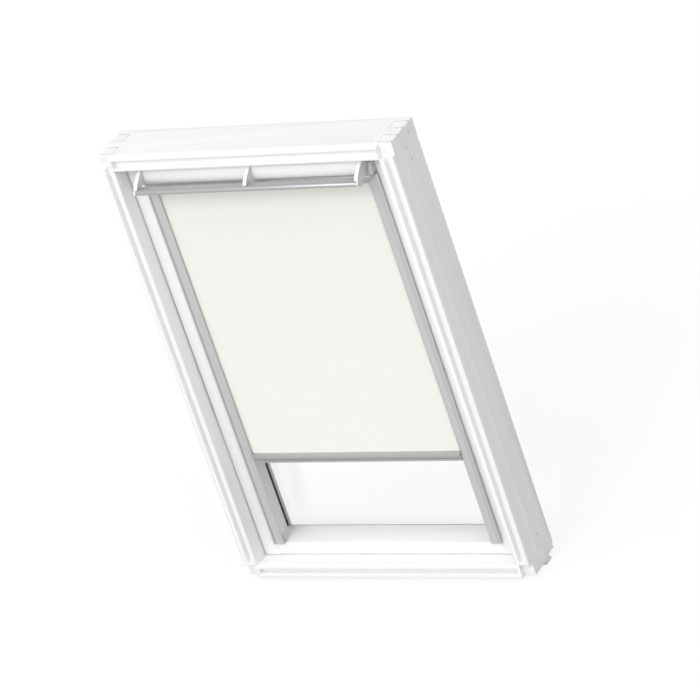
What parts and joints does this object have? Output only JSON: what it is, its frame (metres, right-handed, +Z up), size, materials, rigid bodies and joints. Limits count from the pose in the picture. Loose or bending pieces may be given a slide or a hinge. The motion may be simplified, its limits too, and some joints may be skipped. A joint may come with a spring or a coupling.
{
  "type": "roof window with roller blind",
  "caption": "White centre-pivot roof window with a timber frame and sash, a ventilation flap with control bar, and a roller blind running in aluminium side channels.",
  "frame": {"origin": "Middle of the flat underside of the sill: half the width in X and half the timber frame's depth in Y.", "axes": "+X to the right as seen from the room, +Y from the room to the outside, +Z up the window along its jambs. On a roof the whole row is tilted back about X."},
  "size_m": [0.78, 0.1826, 1.189],
  "materials": {
    "painted_timber": "smooth white paint, satin",
    "foot_plastic": "moulded, matt",
    "grey_cladding": "lacquered dark grey, matt",
    "zinc_steel": "zinc plated",
    "black_rubber": "matt",
    "clear_glass": "clear, polished",
    "bare_aluminium": "natural anodised, satin",
    "grey_plastic": "moulded, matt",
    "white_plastic": "moulded, satin",
    "spring_steel": "drawn wire",
    "blind_fabric": "plain off-white woven roller cloth"
  },
  "bodies": {
    "frame": {"frame_jamb_left": "painted_timber", "frame_jamb_right": "painted_timber", "frame_head": "painted_timber", "frame_sill": "painted_timber", "frame_foot_left": "foot_plastic", "frame_foot_right": "foot_plastic", "frame_cover_left": "grey_cladding", "frame_cover_right": "grey_cladding", "frame_hood": "grey_cladding", "frame_apron": "grey_cladding", "frame_pivot_left": "zinc_steel", "frame_pivot_right": "zinc_steel", "lock_striker": "zinc_steel", "frame_screw_1_left": "zinc_steel", "frame_screw_1_right": "zinc_steel", "frame_screw_2_left": "zinc_steel", "frame_screw_2_right": "zinc_steel", "frame_screw_3_left": "zinc_steel", "frame_screw_3_right": "zinc_steel", "frame_screw_4_left": "zinc_steel", "frame_screw_4_right": "zinc_steel"},
    "sash": {"sash_stile_left": "painted_timber", "sash_stile_right": "painted_timber", "sash_rail_bottom": "painted_timber", "sash_rail_top": "painted_timber", "sash_seal_upper": "black_rubber", "sash_seal_lower": "black_rubber", "sash_pivot_left": "zinc_steel", "sash_pivot_right": "zinc_steel", "glazing_gasket": "black_rubber", "glass_inner_pane": "clear_glass", "glass_outer_pane": "clear_glass", "glass_spacer": "bare_aluminium", "sash_cover_left": "grey_cladding", "sash_cover_right": "grey_cladding", "sash_cover_bottom": "grey_cladding", "sash_cover_top": "grey_cladding", "lock_case": "zinc_steel", "vent_bearing_left": "grey_plastic", "vent_bearing_right": "grey_plastic", "blind_casing": "bare_aluminium", "casing_end_left": "grey_plastic", "casing_end_right": "grey_plastic", "blind_channel_left": "bare_aluminium", "blind_channel_right": "bare_aluminium", "blind_cloth": "blind_fabric"},
    "vent_bar": {"vent_flap": "white_plastic", "control_bar": "bare_aluminium", "bar_bracket_left": "white_plastic", "bar_bracket_right": "white_plastic", "bar_bracket_centre": "white_plastic"},
    "latch": {"lock_tongue": "zinc_steel"},
    "blind_bar": {"bottom_bar": "bare_aluminium", "bottom_bar_guide_left": "grey_plastic", "bottom_bar_guide_right": "grey_plastic"},
    "roller": {"roller_tube": "bare_aluminium", "roller_plug_left": "grey_plastic", "roller_plug_right": "grey_plastic", "roller_spring": "spring_steel", "cloth_roll": "blind_fabric"}
  },
  "joints": [
    {"name": "sash_pivot", "type": "hinge", "parent": "frame", "child": "sash", "pos_m": [0, 0.017, 0.58875], "axis": [1, 0, 0], "range_deg": [0, 160]},
    {"name": "vent_bar_hinge", "type": "hinge", "parent": "sash", "child": "vent_bar", "pos_m": [0, -0.0295, 1.104], "axis": [1, 0, 0], "range_deg": [0, 35]},
    {"name": "latch_slide", "type": "slide", "parent": "sash", "child": "latch", "axis": [0, 0, 1], "range_m": [0, 0.008]},
    {"name": "blind_slide", "type": "slide", "parent": "sash", "child": "blind_bar", "axis": [0, 0, 1], "range_m": [-0.226, 0.715], "deforming": ["blind_cloth"]},
    {"name": "roller_spin", "type": "hinge", "parent": "sash", "child": "roller", "pos_m": [0, -0.01, 1.078], "axis": [1, 0, 0], "range_deg": [-4300, 1450]}
  ],
  "couplings": [
    {"joint": "roller_spin", "follows": "blind_slide", "rad_per_m": -102.04}
  ]
}
